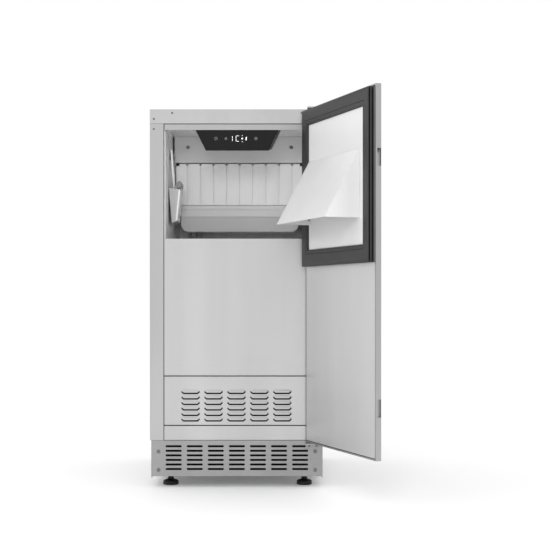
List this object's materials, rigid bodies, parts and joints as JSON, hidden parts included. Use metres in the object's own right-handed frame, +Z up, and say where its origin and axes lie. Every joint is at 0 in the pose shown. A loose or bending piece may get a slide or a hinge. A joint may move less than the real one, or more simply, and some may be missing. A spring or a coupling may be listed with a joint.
{
  "type": "under-counter ice maker",
  "caption": "Narrow under-counter clear-ice maker: steel cabinet with louvres and kick plate, hinged door with ice chute, storage bin, water curtain, scoop and levelling feet.",
  "frame": {"origin": "on the floor under the middle of the cabinet's footprint", "axes": "+Z up, +X to the right seen from the front, front face towards -Y"},
  "size_m": [0.477, 0.9518, 0.8258],
  "materials": {
    "brushed_steel_skin": "satin",
    "galvanised_sheet": "satin",
    "screw_steel": "satin",
    "white_plastic": "satin",
    "foam_core": "matte",
    "black_plastic": "satin",
    "gloss_black": "gloss",
    "circuit_board": "satin",
    "grey_plastic": "satin",
    "clear_plastic": "gloss",
    "tinned_copper": "satin",
    "copper": "satin",
    "condenser_metal": "satin",
    "black_enamel": "gloss",
    "motor_steel": "satin",
    "soft_rubber": "matte"
  },
  "bodies": {
    "cabinet": {"left_side_panel": "brushed_steel_skin", "right_side_panel": "brushed_steel_skin", "top_panel": "brushed_steel_skin", "front_top_rail": "brushed_steel_skin", "rear_panel": "galvanised_sheet", "machine_deck": "galvanised_sheet", "compartment_liner": "white_plastic", "insulation_foam": "foam_core", "top_trim_strip": "white_plastic", "bin_front_panel": "brushed_steel_skin", "louvred_access_panel": "brushed_steel_skin", "lower_front_strip": "brushed_steel_skin", "base_frame": "galvanised_sheet", "kick_plate": "brushed_steel_skin", "case_screws": "screw_steel", "upper_hinge_bracket": "galvanised_sheet", "lower_hinge_bracket": "galvanised_sheet", "hinge_screws": "screw_steel", "control_housing": "black_plastic", "control_fascia": "gloss_black", "control_board": "circuit_board", "upper_cover_panel": "white_plastic", "cover_screws": "screw_steel", "evaporator_frame": "white_plastic", "evaporator_plate": "tinned_copper", "evaporator_coil": "copper", "distribution_tube": "grey_plastic", "water_trough": "white_plastic", "water_pump": "black_plastic", "pump_hose": "soft_rubber", "bin_sensor_tube": "copper", "trough_drain_tube": "grey_plastic", "scoop_hook": "grey_plastic", "compressor": "black_enamel", "compressor_grommets": "soft_rubber", "condenser": "condenser_metal", "fan_shroud": "galvanised_sheet", "fan_motor": "motor_steel", "filter_drier": "copper", "refrigerant_lines": "copper", "water_inlet_valve": "grey_plastic", "drain_outlet": "grey_plastic", "supply_cord_gland": "black_plastic", "electrical_box": "black_plastic", "machine_rear_cover": "galvanised_sheet"},
    "door": {"door_outer_skin": "brushed_steel_skin", "door_inner_panel": "brushed_steel_skin", "door_core": "foam_core", "hinge_bushes": "white_plastic", "door_gasket": "soft_rubber", "door_liner": "white_plastic", "ice_chute": "white_plastic", "chute_screws": "screw_steel"},
    "curtain": {"water_curtain": "white_plastic"},
    "fan": {"fan_blade": "grey_plastic"},
    "scoop": {"ice_scoop": "clear_plastic"},
    "foot_front_left": {"front_left_foot": "black_plastic"},
    "foot_front_right": {"front_right_foot": "black_plastic"},
    "foot_rear_left": {"rear_left_foot": "black_plastic"},
    "foot_rear_right": {"rear_right_foot": "black_plastic"}
  },
  "joints": [
    {"name": "door_hinge", "type": "hinge", "parent": "cabinet", "child": "door", "pos_m": [0.1665, -0.3055, 0.45], "axis": [0, 0, 1], "range_deg": [-109.5, 5.5]},
    {"name": "curtain_swing", "type": "hinge", "parent": "cabinet", "child": "curtain", "pos_m": [0, -0.063, 0.7265], "axis": [-1, 0, 0], "range_deg": [0, 25]},
    {"name": "fan_spin", "type": "hinge", "parent": "cabinet", "child": "fan", "pos_m": [-0.04, -0.162, 0.122], "axis": [0, 1, 0], "continuous": true},
    {"name": "scoop_off_peg", "type": "slide", "parent": "cabinet", "child": "scoop", "axis": [1, 0, 0], "range_m": [0, 0.045]},
    {"name": "foot_front_left_height", "type": "slide", "parent": "cabinet", "child": "foot_front_left", "axis": [0, 0, -1], "range_m": [0, 0.045]},
    {"name": "foot_front_right_height", "type": "slide", "parent": "cabinet", "child": "foot_front_right", "axis": [0, 0, -1], "range_m": [0, 0.045]},
    {"name": "foot_rear_left_height", "type": "slide", "parent": "cabinet", "child": "foot_rear_left", "axis": [0, 0, -1], "range_m": [0, 0.045]},
    {"name": "foot_rear_right_height", "type": "slide", "parent": "cabinet", "child": "foot_rear_right", "axis": [0, 0, -1], "range_m": [0, 0.045]}
  ]
}
